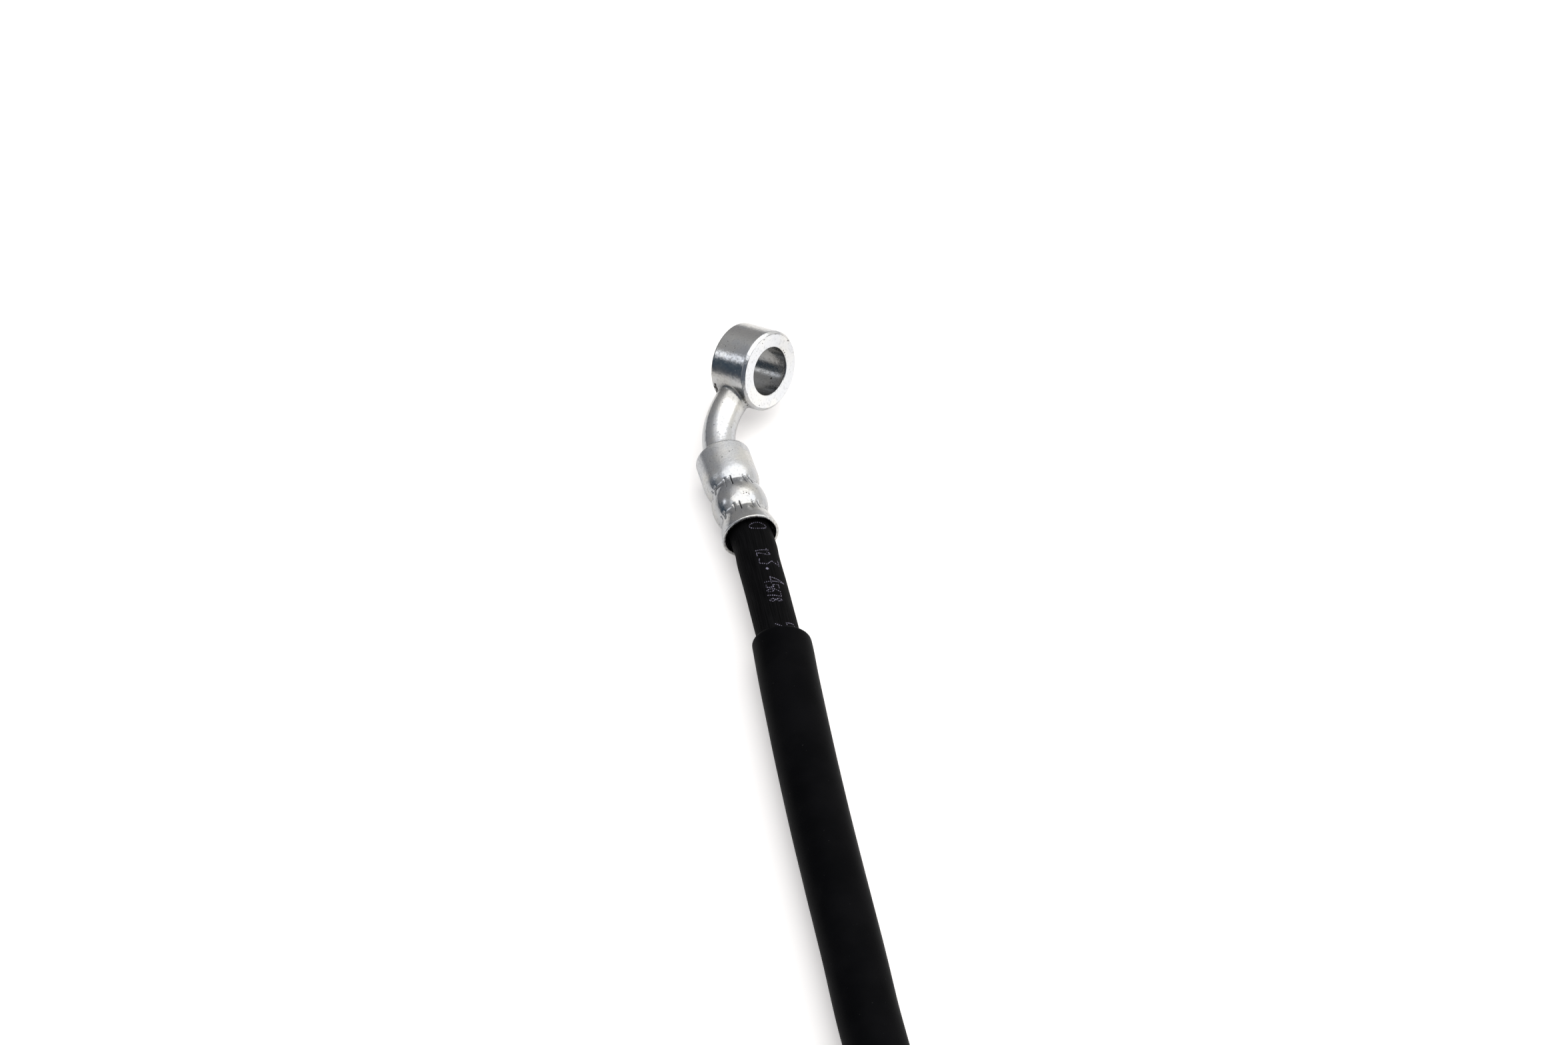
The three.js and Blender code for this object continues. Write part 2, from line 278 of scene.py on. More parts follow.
# %% Outline of the ferrule
FERRULE_LENGTH = 27.4
FERRULE_WALL = 0.85
OUTLINE = np.array([
    (0.0, 7.20), (0.4, 7.19), (1.0, 7.08), (2.0, 6.89), (3.0, 6.65), (4.0, 6.36), (5.0, 6.07),
    (5.7, 5.97), (6.3, 6.07), (7.0, 6.34), (8.0, 6.65), (9.0, 6.84), (10.0, 6.93), (11.0, 6.93),
    (12.0, 6.83), (13.0, 6.60), (14.0, 6.29), (14.7, 6.08), (15.3, 6.16), (16.0, 6.45),
    (17.0, 6.76), (18.0, 6.94), (19.0, 7.0), (22.0, 7.0), (27.4, 7.0),
])
FERRULE_RADIUS = 7.0
MOUTH_RADIUS = 7.20
outline_fine = smooth_line(OUTLINE)
print("ferrule:", FERRULE_LENGTH, "mm long,", round(2 * OUTLINE[:, 1].min(), 2), "mm across a waist")


def ferrule_radius(height):
    """The shell's outer radius at a distance from the mouth."""
    return np.interp(height, outline_fine[:, 0], outline_fine[:, 1])


# %% [markdown]
# ## The hose
#
# The hose is black rubber, moulded over a braid that shows through as fine ribs along it. It ends
# inside each ferrule, where the crimps squeeze it. A tube swept along the line gives all of this. On
# the real part it is the piece that bends.

# %% Hose
HOSE_RADIUS = 5.25
IN_FERRULE = 23.3
HOSE_GAP = 0.15
RIBS = 40
RIB_HEIGHT = 0.018
HOSE_COLUMNS = 160
BARE_RUN = 40  # rows are close together this far from the first mouth, where the hose is bare

hose_run = np.concatenate((
    np.linspace(-IN_FERRULE, -0.5, 40), np.linspace(0, BARE_RUN, 70),
    np.linspace(BARE_RUN + 1, HOSE_RUN - 1, 200),
    np.linspace(HOSE_RUN, HOSE_RUN + IN_FERRULE, 41),
))
hose_angle = circle(HOSE_COLUMNS)
hose_centre, hose_ahead = on_hose(hose_run)
depth = np.maximum(-hose_run, hose_run - HOSE_RUN)
squeezed = np.where(depth > 0, ferrule_radius(depth) - FERRULE_WALL - HOSE_GAP, HOSE_RADIUS)
rib = RIB_HEIGHT * np.cos(RIBS * hose_angle)
hose_radius = np.minimum(squeezed, HOSE_RADIUS)[:, None] + rib
hose = skin("hose_rubber", sweep(hose_centre, hose_ahead, hose_radius, hose_angle),
            hose_run, hose_angle * HOSE_RADIUS)

# %% [markdown]
# ## The sleeve
#
# The sleeve is a plain rubber tube pushed over the hose. Its ends were cut by hand, so they aren't
# quite square, and their edges are round from handling. Its section is a closed loop: along the
# outside, round the end, back along the inside. Carrying that loop round the line gives a wall with
# a real thickness, and sliding each column along the hose by its own amount gives the slanted cut.

# %% Section of the sleeve
SLEEVE_RADIUS = 7.2
SLEEVE_WALL = 1.35
BARE_HOSE = 35.4
OUTER_EDGE = 1.05
INNER_EDGE = 0.25
END_TAPER = 0.14
TAPER_LENGTH = 1.8
END_ROWS = 9  # rows are close together this far from each end
INSIDE_ROWS = 60
INSIDE_MARGIN = 1.5
SLEEVE_COLUMNS = 112


def rounded_corner(run, radius, size, start, steps=8):
    """A quarter circle in the section, as points of run and radius, from an angle in degrees."""
    angle = np.radians(np.linspace(start, start - 90, steps))
    return np.column_stack((run + size * np.cos(angle), radius + size * np.sin(angle)))


first, last = BARE_HOSE, HOSE_RUN - BARE_HOSE
inner = SLEEVE_RADIUS - SLEEVE_WALL
outside_run = np.concatenate((
    np.linspace(first + OUTER_EDGE, first + END_ROWS, 16)[1:],
    np.linspace(first + (END_ROWS + 1), last - (END_ROWS + 1), 180),
    np.linspace(last - END_ROWS, last - OUTER_EDGE, 16)[:-1],
))
outside = np.column_stack((outside_run, np.full(len(outside_run), SLEEVE_RADIUS)))
inside_run = np.linspace(last - INSIDE_MARGIN, first + INSIDE_MARGIN, INSIDE_ROWS)
inside = np.column_stack((inside_run, np.full(INSIDE_ROWS, inner)))
section = np.vstack((
    outside,
    rounded_corner(last - OUTER_EDGE, SLEEVE_RADIUS - OUTER_EDGE, OUTER_EDGE, 90),
    rounded_corner(last - INNER_EDGE, inner + INNER_EDGE, INNER_EDGE, 0),
    inside,
    rounded_corner(first + INNER_EDGE, inner + INNER_EDGE, INNER_EDGE, 270),
    rounded_corner(first + OUTER_EDGE, SLEEVE_RADIUS - OUTER_EDGE, OUTER_EDGE, 180),
))
from_end = np.minimum(section[:, 0] - first, last - section[:, 0])
section[:, 1] -= END_TAPER * np.exp(-from_end / TAPER_LENGTH)
print("sleeve:", round(last - first, 1), "mm long,", len(section), "points in its section")

# %% [markdown]
# A hand-cut end is slanted, and a loose sleeve doesn't sit in the middle of its hose. The slant slides
# the ends' points along the hose, most at the very end and less further in, and the same share moves
# them sideways. A little unevenness, always inwards, keeps the sleeve inside its packed size.

# %% Sleeve
SLANT_TO_SIDE = 0.9
SLANT_TO_TOP = 0.8
SLANT_REACH = 12.0
SIDEWAYS = 0.32
SLEEVE_UNEVENNESS = 0.012
SLEEVE_WAVES = 14.0  # mm

sleeve_angle = circle(SLEEVE_COLUMNS)
sleeve_centre, sleeve_ahead = on_hose(section[:, 0])
sleeve_grid = sweep(sleeve_centre, sleeve_ahead, section[:, 1], sleeve_angle)
slant = SLANT_TO_SIDE * np.cos(sleeve_angle) + SLANT_TO_TOP * np.sin(sleeve_angle)
slant_share = np.exp(-(np.clip(from_end, 0, None) / SLANT_REACH)**2)
sleeve_grid += (slant_share[:, None] * slant)[..., None] * sleeve_ahead[:, None]
outward = sleeve_grid - sleeve_centre[:, None]
sleeve_grid += (SIDEWAYS * slant_share[:, None]**3 * np.cross(UP, sleeve_ahead))[:, None]
sleeve_grid -= (SLEEVE_UNEVENNESS * (1 + unevenness(sleeve_grid, SLEEVE_WAVES, seed=3))[..., None]
                * outward / SLEEVE_RADIUS)
sleeve = skin("sleeve_rubber", sleeve_grid, run_along(section), sleeve_angle * SLEEVE_RADIUS,
              ring=True)

# %% [markdown]
# ## The print on the hose
#
# A hose carries a line of dotted figures, put on drop by drop by a printing head. Here they are only
# the plain numbers from 0 to 9. Each figure is a line drawn in a box, and drops are set along it at
# equal distances. A drop is a small flat button of eight sides on the rubber, so the print keeps a
# true edge, which a picture of it wouldn't, and it needs no image.

# %% Lines of the figures
STROKES = {
    "1": [(0.2, 0.8), (0.6, 1.0), (0.6, 0.0)],
    "2": [(0.0, 0.8), (0.3, 1.0), (0.8, 1.0), (1.0, 0.75), (0.0, 0.0), (1.0, 0.0)],
    "3": [(0.0, 1.0), (1.0, 1.0), (0.4, 0.6), (1.0, 0.35), (0.7, 0.0), (0.0, 0.05)],
    "4": [(0.75, 0.0), (0.75, 1.0), (0.0, 0.3), (1.0, 0.3)],
    "5": [(1.0, 1.0), (0.0, 1.0), (0.0, 0.55), (0.8, 0.55), (1.0, 0.25), (0.7, 0.0), (0.0, 0.05)],
    "6": [(0.9, 1.0), (0.1, 0.6), (0.0, 0.2), (0.4, 0.0), (1.0, 0.15), (0.9, 0.5), (0.1, 0.45)],
    "7": [(0.0, 1.0), (1.0, 1.0), (0.35, 0.0)],
    "8": [(0.5, 0.5), (0.0, 0.75), (0.5, 1.0), (1.0, 0.75), (0.5, 0.5), (0.0, 0.25), (0.5, 0.0),
          (1.0, 0.25), (0.5, 0.5)],
    "9": [(0.1, 0.0), (0.9, 0.4), (1.0, 0.8), (0.6, 1.0), (0.0, 0.85), (0.1, 0.5), (0.9, 0.55)],
}


def figure_line(figure):
    """Points of a figure's line in a box from 0 to 1. The zero is an ellipse."""
    if figure == "0":
        turn = np.linspace(0, 2 * math.pi, 33)
        return 0.5 + 0.5 * np.column_stack((np.sin(turn), np.cos(turn)))
    return np.array(STROKES[figure])


def drops_along(line, pitch):
    """Points about a pitch apart along a line: its length is shared out evenly."""
    run = run_along(line)
    places = np.linspace(0, run[-1], max(round(run[-1] / pitch), 1) + 1)
    return np.column_stack((np.interp(places, run, line[:, 0]), np.interp(places, run, line[:, 1])))


# %% Places of the drops
DROP_PITCH = 0.52
BASELINE = -9  # degrees round the hose from its top, as are the heights
TALL = 58
MIDDLING = 50
SMALL = 36
FIGURES = [  # figure, where it starts along the hose and its width in mm, its height in degrees
    ("0", 0.4, 2.1, MIDDLING), ("1", 9.3, 0.8, SMALL), ("2", 10.5, 0.9, SMALL), ("3", 12.7, 1.9, TALL),
    ("4", 18.9, 2.0, TALL), ("5", 21.5, 0.9, SMALL), ("6", 22.9, 0.9, SMALL), ("7", 24.5, 0.9, SMALL),
    ("8", 26.0, 1.0, SMALL), ("9", 34.0, 2.0, TALL),
]
POINT_RUN, POINT_ANGLE = 16.1, 7.5
POINT_RADIUS = 0.24  # the point is six drops round one
POINT_TURN = np.radians(np.arange(0, 360, 60))
POINT_DROPS = POINT_RADIUS * np.vstack(((0, 0), np.column_stack((np.cos(POINT_TURN),
                                                                 np.sin(POINT_TURN)))))
MM_PER_DEGREE = math.radians(1) * HOSE_RADIUS

drops = [drops_along(figure_line(figure) * (width, height * MM_PER_DEGREE), DROP_PITCH)
         + (start, BASELINE * MM_PER_DEGREE) for figure, start, width, height in FIGURES]
drops.append(POINT_DROPS + (POINT_RUN, POINT_ANGLE * MM_PER_DEGREE))
drops = np.vstack(drops)
print("drops in the print:", len(drops))

# %% [markdown]
# A drop has three rings of points, and a middle point below the first and above the last. The first
# ring is under the rubber's surface, the second at half the drop's height, and the third, a little
# smaller, round its flat top. The drops differ in size, as real ones do. All of them are worked out at
# once, first flat, in mm along and round the hose, and then laid on the hose.

# %% Print
DROP_RADIUS = 0.155
DROP_SPREAD = 0.035
DROP_HEIGHT = 0.03
DROP_ROOT = 0.06
DROP_TOP = 0.65  # share of the radius that is flat
SIDES = 8

rng = np.random.default_rng(5)
drop_turn = circle(SIDES)
drop_size = DROP_RADIUS + DROP_SPREAD * rng.uniform(-1, 1, len(drops))
rim = np.column_stack((np.cos(drop_turn), np.sin(drop_turn)))
share = np.concatenate((np.zeros((1, 2)), rim, rim, DROP_TOP * rim, np.zeros((1, 2))))
lift = np.repeat((-DROP_ROOT, -DROP_ROOT, DROP_HEIGHT / 2, DROP_HEIGHT, DROP_HEIGHT),
                 (1, SIDES, SIDES, SIDES, 1))
flat = drops[:, None] + drop_size[:, None, None] * share
print_centre, print_ahead = on_hose(flat[..., 0].ravel())
print_angle = math.pi / 2 - flat[..., 1].ravel() / HOSE_RADIUS
print_side = np.cross(UP, print_ahead)
print_out = np.cos(print_angle)[:, None] * print_side + np.sin(print_angle)[:, None] * UP
print_points = print_centre + (HOSE_RADIUS + np.tile(lift, len(drops)))[:, None] * print_out

# %% Faces of the print
side = np.arange(SIDES)
after = (side + 1) % SIDES
bands = np.vstack([np.column_stack((ring + side, ring + after, ring + SIDES + after,
                                    ring + SIDES + side)) for ring in (1, 1 + SIDES)])
top_ring = 1 + 2 * SIDES
fans = np.vstack((
    np.column_stack((np.zeros(SIDES, int), 1 + after, 1 + side)),
    np.column_stack((np.full(SIDES, len(share) - 1), top_ring + side, top_ring + after)),
))
offset = (np.arange(len(drops)) * len(share))[:, None, None]
mesh = bpy.data.meshes.new("printed_figures")
mesh.from_pydata((print_points * MM).tolist(), [], (bands + offset).reshape(-1, 4).tolist()
                 + (fans + offset).reshape(-1, 3).tolist())
printed_figures = placed("printed_figures", mesh)

# %% [markdown]
# ## The ferrules
#
# The eight jaws leave their marks in both waists. Where two jaws meet, the steel is pinched up into
# a narrow ridge with a slit on either side of it, and each slit ends in a small dent. Between the
# ridges the edge of each waist is drawn in a little, like a scallop. The marks are part of the
# outline's radius, so they are real dents and not only shading.

# %% Sizes of the jaws' marks
JAWS = 8
JAW_PHASE = -18.5  # degrees from the top of the shell to a ridge
RIDGE_HALF_ANGLE = 7.7
CRIMPS = ((5.35, 1.25), (13.95, 1.55))  # middle of each band of slits and half its length
SLIT_WIDTH = 0.12
SLIT_DEPTH = 0.36
SLIT_FADE = 0.3
FAINT_SLIT = 0.45  # the slit on one side of a ridge is only this share as deep
DENT_DEPTH = 0.6 * SLIT_DEPTH
DENT_LENGTH, DENT_WIDTH, DENT_SHIFT = 0.24, 0.32, 0.15
RIDGE_HEIGHT = 0.16
RIDGE_LENGTH, RIDGE_WIDTH = 1.3, 0.7 * RIDGE_HALF_ANGLE
SCALLOP_DEPTH = 0.10
SCALLOP_LENGTH = 1.1
WAIST_RADIUS = 6.2
TOP_ANGLE = math.degrees(math.atan2(-math.cos(ROLL), math.sin(ROLL)))
print(JAWS, "jaws, bands of slits at", [middle for middle, half in CRIMPS], "mm from the mouth")


# %% Marks of the jaws
def bump(x, width):
    """A smooth bump of height 1 at x = 0: e to the power of minus (x / width) squared."""
    return np.exp(-(x / width)**2)


def jaw_marks(height, angle):
    """Change of the shell's radius at heights (rows) and angles (columns) by the jaws' marks: a
    ridge, less two slits with a dent at the upper end, less a scallop that is deepest between two
    ridges, at the upper edge of the waist. Also the share of each point that lies in a slit."""
    pitch = 360 / JAWS
    from_ridge = (np.degrees(angle) - TOP_ANGLE - JAW_PHASE + pitch / 2) % pitch - pitch / 2
    from_slit = (np.abs(from_ridge) - RIDGE_HALF_ANGLE) * math.radians(1) * WAIST_RADIUS
    strength = np.where(from_ridge < 0, FAINT_SLIT, 1.0)
    between = (1 - np.cos(2 * math.pi * from_ridge / pitch)) / 2
    change = np.zeros((len(height), len(angle)))
    in_slit = np.zeros_like(change)
    for middle, half in CRIMPS:
        above = height - middle - half
        reach = np.clip((half - np.abs(height - middle)) / SLIT_FADE + 0.5, 0, 1)
        slit = (strength * bump(from_slit, SLIT_WIDTH))[None] * reach[:, None]
        dent = bump(above, DENT_LENGTH)[:, None] * bump(from_slit + DENT_SHIFT, DENT_WIDTH)[None]
        ridge = (bump(from_ridge, RIDGE_WIDTH)[None]
                 * bump(height - middle, RIDGE_LENGTH)[:, None])
        scallop = bump(above, SCALLOP_LENGTH)[:, None] * between[None]
        change += (RIDGE_HEIGHT * ridge - SLIT_DEPTH * slit - DENT_DEPTH * dent
                   - SCALLOP_DEPTH * scallop)
        in_slit = np.maximum(in_slit, slit)
    return change, in_slit


# %% Columns of the shell
def jaw_columns():
    """Angles round the shell: degrees from each ridge's middle, close together at the slits, which
    lie between 6 and 10 degrees from it on either side."""
    spread = np.concatenate((np.linspace(-22.5, -11, 5), np.linspace(-10, -6, 9),
                             np.linspace(-4.5, 4.5, 5), np.linspace(6, 10, 9),
                             np.linspace(11, 22.5, 5)[:-1]))
    turns = TOP_ANGLE + JAW_PHASE + np.arange(JAWS)[:, None] * 360 / JAWS + spread
    return np.radians(turns.ravel())


# %% [markdown]
# The shell is a closed section, as the sleeve's is: up the outside, over the top edge, in to the hole
# for the neck, down the inside, and round the lip of the mouth. Only the outside carries the marks.
# Its rows are close together in the two waists and its columns at the slits, because a mark that is
# finer than the grid would be lost.

# %% Outside of the shell
shell_angle = jaw_columns()
shell_height = np.unique(np.concatenate((
    np.linspace(0.35, 3.4, 9), np.linspace(3.4, 7.4, 36), np.linspace(7.4, 11.8, 14),
    np.linspace(11.8, 16.2, 40), np.linspace(16.2, 26.9, 24),
)))
marks, in_slit = jaw_marks(shell_height, shell_angle)
shell_outer = ferrule_radius(shell_height)[:, None] + marks
print("outside of the shell:", *shell_outer.shape, "rows and columns, deepest mark",
      round(-marks.min(), 2), "mm")

# %% Section of the shell
LIP_EDGE = 0.33
INNER_LIP = ((0.2, 0.02), (0.05, 0.10), (0.0, 0.22))  # height and how far the inside opens
TOP_EDGE = 0.25
TOP_FACE, UNDER_TOP = 6.0, 6.1
STEM_HOLE = 4.35
HOLE_EDGE = 0.15
SHOULDER = 1.5


def constant_rows(points):
    """Heights and radii of plain rows, the radius repeated over all columns."""
    points = np.array(points)
    return points[:, 0], np.repeat(points[:, 1:2], len(shell_angle), axis=1)


top_rows = constant_rows([
    (FERRULE_LENGTH - TOP_EDGE, FERRULE_RADIUS),
    (FERRULE_LENGTH - 0.3 * TOP_EDGE, FERRULE_RADIUS - 0.3 * TOP_EDGE),
    (FERRULE_LENGTH, FERRULE_RADIUS - TOP_EDGE),
    (FERRULE_LENGTH, TOP_FACE),
    (FERRULE_LENGTH, STEM_HOLE + HOLE_EDGE),
    (FERRULE_LENGTH - HOLE_EDGE, STEM_HOLE),
    (FERRULE_LENGTH - SHOULDER, STEM_HOLE),
    (FERRULE_LENGTH - SHOULDER, UNDER_TOP),
])
inside_height = np.linspace(25.0, 0.5, 50)
inside_radius = np.repeat(ferrule_radius(inside_height)[:, None] - FERRULE_WALL,
                          len(shell_angle), axis=1)
lip_turn = np.linspace(math.pi / 2, 0, 6)
lip = np.column_stack((LIP_EDGE * (1 - np.sin(lip_turn)),
                       MOUTH_RADIUS - LIP_EDGE * (1 - np.cos(lip_turn))))
inner_lip = [(height, MOUTH_RADIUS - FERRULE_WALL + opens) for height, opens in INNER_LIP]
mouth_rows = constant_rows([*inner_lip, *lip])
shell_rows = np.concatenate((shell_height, top_rows[0], inside_height, mouth_rows[0]))
shell_radius = np.vstack((shell_outer, top_rows[1], inside_radius, mouth_rows[1]))
shell_along = run_along(np.column_stack((shell_rows, shell_radius[:, 0])))
print("section of the shell:", len(shell_rows), "rows")

# %% [markdown]
# The jaws leave the plate they press a little darker. The slits are darkened as painted shade, and
# the cut lip gets a painted highlight, broken by speckles. Each of these changes the attribute that
# scales the colour, which the finish turns into colour and roughness later, so the marks and their
# painted shade can't drift apart.

# %% Wear, painted shade and painted highlight on the shell
# The slits' darkness is painted shade.
SLIT_PAINTED_SHADE = 0.75
PRESSED = 0.14
PRESSED_BELOW, PRESSED_FADE = 18.0, 3.0
# The lip's brightening is a painted highlight, which the speckles break up.
RIM_PAINTED_HIGHLIGHT = 0.30
RIM_SPECKS = 0.40
MEAN_SPECK = 0.7
SPECK_SIZE = 1.6
RIM_ROW_STEP = 4.0  # mm between rows in the specks' own places, so that they differ across the lip

pressed = np.clip((PRESSED_BELOW - shell_height) / PRESSED_FADE, 0, 1)[:, None]
shell_clean = np.ones_like(shell_radius)
# The pressed plate is darker, and the slits are darkened by painted shade.
shell_clean[:len(shell_height)] -= PRESSED * pressed + SLIT_PAINTED_SHADE * in_slit
rim_row = np.arange(len(mouth_rows[0]))[:, None]
rim_places = np.stack(np.broadcast_arrays(FERRULE_RADIUS * shell_angle, RIM_ROW_STEP * rim_row), 2)
rim_specks = RIM_SPECKS * (MEAN_SPECK + unevenness(rim_places, SPECK_SIZE, seed=8))
# The lip is brightened by a painted highlight, less the speckles.
shell_clean[-len(rim_row):] += RIM_PAINTED_HIGHLIGHT - rim_specks
print("clean, from", round(shell_clean.min(), 2), "in a slit to", round(shell_clean.max(), 2))

# %% Ferrules
shell_grid = np.stack((
    shell_radius * np.cos(shell_angle),
    shell_radius * np.sin(shell_angle),
    np.repeat(shell_rows[:, None], len(shell_angle), axis=1),
), axis=2)
ferrules = at_both_ends("ferrule_steel", shell_grid, shell_along, shell_angle * FERRULE_RADIUS,
                        ring=True, clean=shell_clean)

# %% [markdown]
# ## The bent necks
#
# The neck is a steel pipe, bent once and brazed to the eye. Its foot follows the eye's round side,
# where the braze has flowed into a small fillet. The pipe is a sweep along a straight, an arc and a
# straight again. The last rows are pushed on until they meet the eye's cylinder, and the very last
# two go on under its surface, so that no gap shows. Near the braze the plate is duller.

# %% Line of the neck
STEM_RADIUS = 4.2
BEND_START = 28.8
BEND_RADIUS = 19.3
BEND_ANGLE = math.radians(50)
EYE_REACH = 11.4
EYE_RADIUS = 10.3
BRAZE_FILLET = 0.8
NECK_START = 26.2


def neck_line(run):
    """Middle points and bend angles of the neck at distances from where it starts: straight up, then
    x = radius * (1 - cos(bend)) and z = radius * sin(bend), then straight on at the full bend."""
    straight = BEND_START - NECK_START
    bend = np.clip((run - straight) / BEND_RADIUS, 0, BEND_ANGLE)
    beyond = np.maximum(run - straight - BEND_RADIUS * BEND_ANGLE, 0)
    x = BEND_RADIUS * (1 - np.cos(bend)) + beyond * np.sin(bend)
    z = (NECK_START + np.minimum(run, straight) + BEND_RADIUS * np.sin(bend)
         + beyond * np.cos(bend))
    return x, z, bend


neck_length = BEND_START - NECK_START + BEND_RADIUS * BEND_ANGLE + EYE_REACH
print("neck:", round(neck_length, 1), "mm from inside the ferrule to the eye's middle")

# %% Necks
NECK_COLUMNS = 96
PIPE_ROWS = 60
FOOT_MARGIN = 0.4
FEATHER = 0.18  # how far the last rows stand wider than the fillet
FEATHER_LIFT = (-0.04, -0.5)  # their height over the eye's surface: both are under it
BRAZE_DULL = 0.34
DULL_BEFORE, DULL_FADE = 1.2, 1.6

neck_angle = circle(NECK_COLUMNS)
to_fillet = neck_length - EYE_RADIUS - BRAZE_FILLET - FOOT_MARGIN
fillet_turn = np.linspace(0, math.pi / 2, 9)
fillet_radius = STEM_RADIUS + BRAZE_FILLET * (1 - np.cos(fillet_turn))
fillet_lift = BRAZE_FILLET * (1 - np.sin(fillet_turn))
foot_radius = np.append(fillet_radius, np.full(2, fillet_radius[-1] + FEATHER))
foot_lift = np.append(fillet_lift, FEATHER_LIFT)
pipe_run = np.linspace(0, to_fillet, PIPE_ROWS)
neck_radius = np.concatenate((np.full(PIPE_ROWS, STEM_RADIUS), foot_radius))[:, None]
across = foot_radius[:, None] * np.sin(neck_angle)
foot_run = neck_length - np.sqrt(EYE_RADIUS**2 - across**2) - foot_lift[:, None]
neck_run = np.vstack((np.repeat(pipe_run[:, None], NECK_COLUMNS, 1), foot_run))
neck_x, neck_z, neck_bend = neck_line(neck_run)
neck_grid = np.stack((
    neck_x + neck_radius * np.cos(neck_angle) * np.cos(neck_bend),
    neck_radius * np.sin(neck_angle) * np.ones_like(neck_x),
    neck_z - neck_radius * np.cos(neck_angle) * np.sin(neck_bend),
), axis=2)
dull = np.clip((neck_run[:, 0] - to_fillet + DULL_BEFORE) / DULL_FADE, 0, 1)
neck_clean = 1 - BRAZE_DULL * dull[:, None]
necks = at_both_ends("neck_steel", neck_grid, neck_run[:, 0], neck_angle * STEM_RADIUS,
                     clean=neck_clean)

# %% [markdown]
# ## The banjo eyes
#
# The eye is turned from a bar: a ring with a bore for the hollow bolt, a small chamfer round each
# face, and one drilled hole in its wall through which the fluid comes from the neck. It is a closed
# section carried round the bore's axis. For the hole, the squares of the grid near it are drawn
# onto circles, and the grid inside the circle is pushed out into the wall. This keeps the ring one
# closed surface, and the hole's edge stays truly round.

# %% Section of the eye
EYE_BORE_RADIUS = 6.2
EYE_HALF_WIDTH = 5.7
CHAMFER = 0.65
CHAMFER_ROWS = ((1.0, 0.03), (0.6, 0.30), (0.2, 0.58))  # share of its height, and fall in radius
CORNER = 0.03  # how far the chamfer's last row is from the face
ROW_GAP = 0.15  # from an edge to the next row, which keeps the edge crisp
BORE_EDGE = 0.22
EYE_COLUMNS = 240
BORE_STEP = 2 * math.pi * EYE_BORE_RADIUS / EYE_COLUMNS  # between columns in the bore
EVEN_ROWS = 16  # as far apart as the columns, on either side of the middle, for the hole's squares


def eye_section():
    """The ring's section as points of height along the bore and radius, going up the outside."""
    half, outer, bore = EYE_HALF_WIDTH, EYE_RADIUS, EYE_BORE_RADIUS
    up_outside = [(h, outer) for h in np.linspace(-half + CHAMFER + ROW_GAP,
                                                  half - CHAMFER - ROW_GAP, 24)]
    edge = [(half - share * CHAMFER, outer - fall) for share, fall in CHAMFER_ROWS]
    edge += [(half - CORNER, outer - CHAMFER - CORNER)]
    face = [(half, r) for r in np.linspace(outer - CHAMFER - ROW_GAP, bore + BORE_EDGE + 0.1, 16)]
    bore_edge = [(half - 0.04, bore + BORE_EDGE * 0.5), (half - BORE_EDGE, bore + 0.02)]
    upper = edge + face + bore_edge
    lower = [(-h, r) for h, r in reversed(upper)]
    even = BORE_STEP * np.arange(EVEN_ROWS, -EVEN_ROWS - 1, -1)
    down_bore = [(h, bore) for h in np.concatenate((np.linspace(half - 0.5, even[0] + 0.3, 9), even,
                                                    np.linspace(even[-1] - 0.3, 0.5 - half, 9)))]
    return np.array(up_outside + upper + down_bore + lower)


# %% Hole for the fluid
HOLE_STEPS = 8  # the hole's radius, in steps of the bore's grid
HOLE_DEPTH = 3.4
DRAWN_ROUND = 2.0  # the squares are fully round up to here
DRAWN_REACH = 2.6  # and as they were from here on


def drill_hole(height, radius, angle):
    """Moves the bore's points near the neck's side, where the angle is half a turn. The greater of
    the two distances from the hole's middle, across and along, becomes the distance all round. Points
    nearer than the hole's radius go out into the wall. The tiny numbers only keep a point that lies
    on the bore, or in the very middle of the hole, from being missed or divided by nothing."""
    in_bore = np.abs(radius - EYE_BORE_RADIUS) < 1e-6
    across = (angle - math.pi) * EYE_BORE_RADIUS
    square = np.maximum(np.abs(across), np.abs(height))
    straight = np.maximum(np.hypot(across, height), 1e-9)
    share = np.clip((DRAWN_REACH - square) / (DRAWN_REACH - DRAWN_ROUND), 0, 1)
    scale = np.where(in_bore, 1 + share * (square / straight - 1), 1)
    inside = in_bore & (square < (HOLE_STEPS - 0.5) * BORE_STEP)
    return (height * scale, radius + np.where(inside, HOLE_DEPTH, 0),
            math.pi + across * scale / EYE_BORE_RADIUS)


# %% Surface of the eye
eye_points = eye_section()
eye_angle = circle(EYE_COLUMNS)
eye_height, eye_radius, eye_turn = drill_hole(
    np.repeat(eye_points[:, 0][:, None], EYE_COLUMNS, 1),
    np.repeat(eye_points[:, 1][:, None], EYE_COLUMNS, 1),
    np.repeat(eye_angle[None], len(eye_points), 0))
eye_x, eye_z, _ = neck_line(np.array([neck_length]))
EYE_CENTRE = np.array((eye_x[0], 0.0, eye_z[0]))
bore_axis = np.array((math.cos(BEND_ANGLE), 0.0, -math.sin(BEND_ANGLE)))
reach_axis = np.array((math.sin(BEND_ANGLE), 0.0, math.cos(BEND_ANGLE)))
third_axis = np.cross(bore_axis, reach_axis)
eye_grid = (EYE_CENTRE + eye_height[..., None] * bore_axis
            + (eye_radius * np.cos(eye_turn))[..., None] * reach_axis
            + (eye_radius * np.sin(eye_turn))[..., None] * third_axis)
print("surface of the eye:", *eye_height.shape, "rows and columns")
